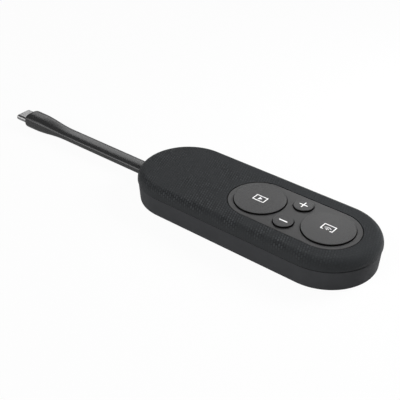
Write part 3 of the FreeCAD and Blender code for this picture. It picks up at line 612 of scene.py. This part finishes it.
cover_edge = arc((flat_radius, seam_z), (edge_reach, edge_rise), 0, 90, 18)
cover_inside = arc((17.2, 10.42), (2.5, 1.18), 0, 90, 6)
cover = pill("textured_cover", -half_straight, half_straight, 0.0, cover_edge,
             [(19.7, seam_z), *cover_inside], count=160)
cut(cover, pill("panel_pocket", panel_left_x, panel_right_x, 0.0,
                [(pocket_radius, pocket_floor_z), (pocket_radius, over_cover_z)],
                [(well_radius, pocket_floor_z), (well_radius, under_cover_z)]))
weave_map = cover.data.uv_layers.new(name="weave")
for corner in cover.data.loops:
    place = cover.data.vertices[corner.vertex_index].co / mm
    weave_map.data[corner.index].uv = unrolled(place) * mm

weave = surface("cover_texture", (0.03, 0.032, 0.034), 0.55, specular=0.12)
laid_flat = add(weave, "UVMap", {"uv_map": "weave"}).outputs[0]
rows = add(weave, "Mapping", Vector=laid_flat, Rotation=(0, 0, rib_turn), Scale=[1 / mm] * 3)
ribs = add(weave, "TexBrick", {"offset": 0.5, "offset_frequency": 2}, Vector=rows.outputs[0],
           Color1=(0.025, 0.0265, 0.028, 1), Color2=(0.043, 0.0455, 0.048, 1),
           Mortar=(0.0135, 0.0145, 0.0155, 1), Scale=1.0, Mortar_Size=rib_gap, Mortar_Smooth=0.7,
           Bias=0.0, Brick_Width=rib_length, Row_Height=rib_pitch)
on_cover = add(weave, "TexCoord").outputs["Object"]
axes = add(weave, "SeparateXYZ", Vector=on_cover).outputs
patches = add(weave, "TexNoise", Vector=on_cover, Scale=110.0, Detail=2.0).outputs["Fac"]
strength = follow(weave, patches, 0.15, 1.0, 0.4, 0.58)
for axis, low, high, start, end, bend in (("Z", 0.0, 1.0, 9.6, 12.6, "SMOOTHSTEP"),
                                          ("X", 1.0, 0.35, 30.0, 46.0, "LINEAR"),
                                          ("Y", 1.0, 0.4, 9.0, 17.0, "LINEAR")):
    share = follow(weave, axes[axis], low, high, start * mm, end * mm, bend)
    strength = reckon(weave, "MULTIPLY", strength, share)
tone = add(weave, "Mix", {"data_type": "RGBA"}, _0=strength, _6=(0.025, 0.0266, 0.0281, 1),
           _7=ribs.outputs["Color"])
grit = add(weave, "TexNoise", Vector=on_cover, Scale=9000.0, Detail=2.0).outputs["Fac"]
height = reckon(weave, "SUBTRACT", grit, ribs.outputs["Fac"])
relief = add(weave, "Bump", Strength=1.0, Distance=0.03 * mm, Height=height)
into(weave, Base_Color=tone.outputs[2], Normal=relief.outputs[0])
dress(cover, weave, "housing", "top_cover")
# Painted shade: the pocket's walls round the panel are painted near-black.
paint_shade_black(cover, lambda middle, normal: abs(normal.z) < 0.1 and middle.z > pocket_floor_z)

# Control panel. A satin plate 1.2 mm thick, glued into the cover's pocket, with one hole for
# each button. Its outer edge and its holes are lightly broken.
panel_top_z = 13.1
panel_edge = [(12.8, 11.9), (12.76, 12.9), (12.7, 13.04), (12.6, panel_top_z)]
button_middles = {"present": (panel_left_x, 0.0), "share": (panel_right_x, 0.0),
                  "volume_up": (18.55, 6.9), "volume_down": (18.55, -6.9)}
hole_radii = {"present": 10.6, "share": 10.6, "volume_up": 4.15, "volume_down": 4.15}
panel = pill("satin_panel", panel_left_x, panel_right_x, 0.0, panel_edge, count=160)
for name, (x, y) in button_middles.items():
    radius = hole_radii[name]
    mouth = [(radius + 0.14, 13.12), (radius + 0.14, 13.3)]
    bore = [(radius + 0.12, panel_top_z), (radius + 0.04, 13.06), (radius, 12.98), (radius, 11.5)]
    cut(panel, pill(name + "_hole", x, x, y, mouth, bore, count=96))
satin = moulded("panel_satin", (0.033, 0.033, 0.0335), 0.29, 0.12, 0.0005, uneven=0.05, specular=0.4)
dress(panel, satin, "housing", "control_panel")
# Painted shade: the panel's outer edge and the walls of its holes are painted near-black.
paint_shade_black(panel, lambda middle, normal: abs(normal.z) < 0.35)

# Button caps. Hollow satin caps with a softly broken edge and sides painted near-black as shade, a flange
# that holds each one under the panel, a stem that presses the switch, and guide posts in the frame's
# bores.
large_cap = {"radius": 10.45, "top_z": 13.7, "flange": 11.2, "stem": 2.0, "post": 0.8,
             "post_circle": 8.0, "post_turns": (90, 210, 330)}
small_cap = {"radius": 4.0, "top_z": 13.8, "flange": 4.5, "stem": 1.6, "post": 0.6,
             "post_circle": 2.9, "post_turns": (0, 180)}
cap_sizes = {"present": large_cap, "share": large_cap, "volume_up": small_cap, "volume_down": small_cap}
cap_edge = 0.22
cap_wall = 1.2
cap_ceiling_z = 12.4
flange_z = 11.35
flange_thickness = 0.5
stem_foot_z = 8.8
post_foot_z = 8.6
post_bevel = 0.1
cap_satin = moulded("cap_satin", (0.034, 0.034, 0.0345), 0.28, 0.12, 0.0005, uneven=0.05, specular=0.45)
caps = {}
for name, size in cap_sizes.items():
    x, y = button_middles[name]
    parts = ("radius", "top_z", "flange", "stem", "post")
    radius, top_z, flange, stem, guide = [size[part] for part in parts]
    edge = arc((radius - cap_edge, top_z - cap_edge), (cap_edge, cap_edge), 0, 90, 6)
    above = [(flange, flange_z), (flange, flange_z + flange_thickness),
             (radius, flange_z + flange_thickness), *edge]
    below = [(radius - cap_wall, flange_z), (radius - cap_wall, cap_ceiling_z), (stem, cap_ceiling_z),
             (stem, stem_foot_z)]
    caps[name] = pill(name + "_button_cap", x, x, y, above, below)
    for turn in size["post_turns"]:
        post_x = x + size["post_circle"] * cos(radians(turn))
        post_y = y + size["post_circle"] * sin(radians(turn))
        post = pill("post", post_x, post_x, post_y,
                    [(guide, post_foot_z + post_bevel), (guide, cap_ceiling_z + 0.2)],
                    [(guide - post_bevel, post_foot_z)], count=32)
        cut(caps[name], post, work="UNION")
    dress(caps[name], cap_satin, name + "_button", name + "_cap")
    # Painted shade: each cap's sides, the lower half of its broken edge and everything below are painted
    # near-black.
    paint_shade_black(caps[name], lambda middle, normal: abs(normal.z) < 0.55 or middle.z < top_z - 0.3)

# Button marks. White inlays 0.25 mm deep, flush with the caps: a screen with a play triangle, a
# screen open at its foot with waves, a plus and a minus.
mark_depth = 0.25
mark_line = 0.42
mark_corner = 0.12
screen_size = (5.4, 3.7)
bed_rise = 0.2
cutter_rise = 0.1


def flat_plate(name, place, size, corner=0.0):
    """Flat rectangle with softly rounded corners, left in edit mode."""
    bpy.ops.object.select_all(action="DESELECT")
    bpy.ops.mesh.primitive_plane_add(size=1.0, location=[part * mm for part in place])
    plate = bpy.context.object
    plate.name = name
    plate.scale = (size[0] * mm, size[1] * mm, 1)
    bpy.ops.object.transform_apply()
    bpy.ops.object.mode_set(mode="EDIT")
    bpy.ops.mesh.select_all(action="SELECT")
    if corner > 0:
        bpy.ops.mesh.bevel(offset=corner * mm, segments=3, affect="VERTICES")
    return plate


def disc(name, place, radius, count):
    """Flat disc or polygon, left in edit mode. With three corners it points along +X."""
    bpy.ops.object.select_all(action="DESELECT")
    bpy.ops.mesh.primitive_circle_add(vertices=count, radius=radius * mm, fill_type="NGON",
                                      location=[part * mm for part in place], rotation=(0, 0, -pi / 2))
    piece = bpy.context.object
    piece.name = name
    bpy.ops.object.transform_apply()
    bpy.ops.object.mode_set(mode="EDIT")
    bpy.ops.mesh.select_all(action="SELECT")
    return piece


def screen(x, top_z, *gaps):
    """Screen outline: a plate with rounded corners, a smaller one cut out of it, and any gaps."""
    outline = thicken(flat_plate("screen", (x, 0.0, top_z), screen_size, mark_corner), mark_depth)
    inside_size = [size - 2 * mark_line for size in screen_size]
    inside = thicken(flat_plate("inside", (x, 0.0, top_z + cutter_rise), inside_size), 2 * mark_depth)
    return cut(outline, inside, *gaps)


def inlay(name, *parts):
    """Let each part into a button's cap, then join them into its mark."""
    top_z = cap_sizes[name]["top_z"]
    for part in parts:
        take(part)
        bpy.ops.object.duplicate()
        bed = bpy.context.object
        bpy.ops.object.mode_set(mode="EDIT")
        pick("verts", lambda middle, item: middle.z > (top_z - mark_depth / 2) * mm)
        bpy.ops.transform.translate(value=(0, 0, bed_rise * mm))
        bpy.ops.object.mode_set(mode="OBJECT")
        cut(caps[name], bed)
    even_out(caps[name])
    mark = parts[0]
    take(mark)
    for part in parts[1:]:
        part.select_set(True)
    if len(parts) > 1:
        bpy.ops.object.join()
    mark.name = name + "_button_mark"
    dress(mark, white, name + "_button", name + "_mark")


white = moulded("mark_white", (0.86, 0.86, 0.86), 0.45, 0.1, 0.001, uneven=0.02)
large_top_z = large_cap["top_z"]
small_top_z = small_cap["top_z"]

present_x, present_y = button_middles["present"]
play = thicken(disc("play", (present_x - 0.1, present_y, large_top_z), 1.1, 3), mark_depth)
inlay("present", screen(present_x, large_top_z), play)

share_x = button_middles["share"][0]
wave_foot_y = -1.7
wave_line = 0.28
wave_slope = 1.19
dot = disc("dot", (share_x, wave_foot_y + 0.3, large_top_z), 0.26, 24)
share_parts = [thicken(dot, mark_depth)]
for radius in (1.15, 2.0):
    wave = disc("wave", (share_x, wave_foot_y, large_top_z), radius, 72)
    bpy.ops.mesh.inset(thickness=wave_line * mm)
    bpy.ops.mesh.delete(type="FACE")
    pick("faces", lambda middle, item: wave_slope * (middle.y - wave_foot_y * mm)
         < abs(middle.x - share_x * mm))
    bpy.ops.mesh.delete(type="FACE")
    share_parts.append(thicken(wave, mark_depth))
open_foot = flat_plate("open_foot", (share_x, wave_foot_y, large_top_z + cutter_rise), (2.9, 1.0))
share_parts.append(screen(share_x, large_top_z, thicken(open_foot, 2 * mark_depth)))
inlay("share", *share_parts)

minus = flat_plate("minus", (*button_middles["volume_down"], small_top_z), (3.7, 0.6), mark_corner)
inlay("volume_down", thicken(minus, mark_depth))

plus_half_line = 0.24
plus_reach = 1.84
plus_middle = (*button_middles["volume_up"], small_top_z)
plus = flat_plate("plus", plus_middle, (2 * plus_half_line, 2 * plus_half_line))
centre = Vector(plus_middle) * mm
arm = (plus_reach - plus_half_line) * mm
for across, along in ((1, 0), (-1, 0), (0, 1), (0, -1)):
    side = centre + Vector((across, along, 0)) * plus_half_line * mm
    pick("edges", lambda middle, item: (middle - side).length < 10 * near)
    bpy.ops.mesh.extrude_region_move(TRANSFORM_OT_translate={"value": (arm * across, arm * along, 0)})
pick("verts", lambda middle, item: (middle - centre).length > plus_reach * mm)
bpy.ops.mesh.bevel(offset=mark_corner * mm, segments=3, affect="VERTICES")
inlay("volume_up", thicken(plus, mark_depth))

# Snap domes. Cups of bright spring steel, 0.08 mm thick, one in each switch. A dome lies loose on
# its case's floor and flattens with a click when the button's plunger comes down on it.
dome_floor_z = 6.2
dome_metal = 0.08
large_dome = (2.02, 0.7, 0.28)
small_dome = (1.52, 0.6, 0.33)
domes = {"present": large_dome, "share": large_dome, "volume_up": small_dome, "volume_down": small_dome}
dome_steel = brushed("dome_steel", (0.66, 0.66, 0.66), 0.2, "x")
for name, (rim, rise, kept) in domes.items():
    x, y = button_middles[name]
    ball = (rim * rim + rise * rise) / (2 * rise)
    centre_z = dome_floor_z + rise - ball
    skins = []
    for reach in (ball, ball - dome_metal):
        foot_turn = degrees(asin((dome_floor_z - centre_z) / reach))
        skins.append(arc((0.0, centre_z), (reach, reach), foot_turn, 87, 8))
    dome = pill(name + "_snap_dome", x, x, y, skins[0], skins[1], count=64)
    dress(dome, dome_steel, "housing", name + "_dome")
    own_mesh(dome)

# Base pad. A die-cut sheet of soft rubber, taped into a shallow recess, that keeps the body from
# sliding and hides the housing screws.
pad_radius = 16.65
pad = pill("rubber_pad", -half_straight, half_straight, 0.0,
           [(pad_radius, shell_foot_z), (pad_radius, 0.6)], [(16.58, 0.06), (16.42, 0.0)])
pad_rubber = moulded("pad_rubber", (0.02, 0.02, 0.0205), 0.75, 0.2, 0.02)
dress(pad, pad_rubber, "housing", "base_pad")

# Parts inside the shell. They keep the shapes of the CAD and get a finish each: tinned cans, black
# packages, fired ceramics, natural nylon, plated screws and soft pads.
coat(moulded("tape", (0.52, 0.5, 0.44), 0.6, 0.2, 0.004), "pad_tape", "panel_glue")
coat(brushed("zinc_steel", (0.52, 0.52, 0.54), 0.35, "x"), "housing_screws", "frame_screws",
     "board_screws", "clamp_screws", "cable_clamp")
coat(brushed("tinned_can", (0.62, 0.61, 0.58), 0.3, "y"), "switch_terminals", "rf_shield",
     "wireless_module", "antenna_near", "antenna_far", "crystal")
coat(brushed("aluminium", (0.72, 0.73, 0.74), 0.4, "y"), "heat_spreader")
coat(moulded("chip_package", (0.03, 0.03, 0.032), 0.5, 0.08, 0.003), "processor", "memory_chip")
coat(moulded("thermal_grey", (0.4, 0.46, 0.53), 0.7, 0.3, 0.01), "thermal_pad")
coat(moulded("ferrite", (0.11, 0.11, 0.115), 0.6, 0.15, 0.006), "power_inductor")
coat(moulded("ceramic", (0.5, 0.38, 0.24), 0.45, 0.05, 0.001), "board_capacitors")
coat(moulded("frame_plastic", (0.055, 0.055, 0.06), 0.5, 0.15, 0.005), "button_frame")
coat(moulded("switch_case", (0.045, 0.045, 0.045), 0.5, 0.1, 0.003), *[name + "_switch" for name in caps])
coat(moulded("plunger_grey", (0.3, 0.3, 0.3), 0.45, 0.1, 0.003), *[name + "_plunger" for name in caps])
coat(moulded("nylon", (0.76, 0.72, 0.62), 0.5, 0.12, 0.003), "cable_header", "cable_socket")
coat(moulded("wire_red", (0.32, 0.04, 0.04), 0.4, 0.1, 0.002), "inner_wires")
coat(jacket, "cable_tail")

bpy.context.view_layer.update()
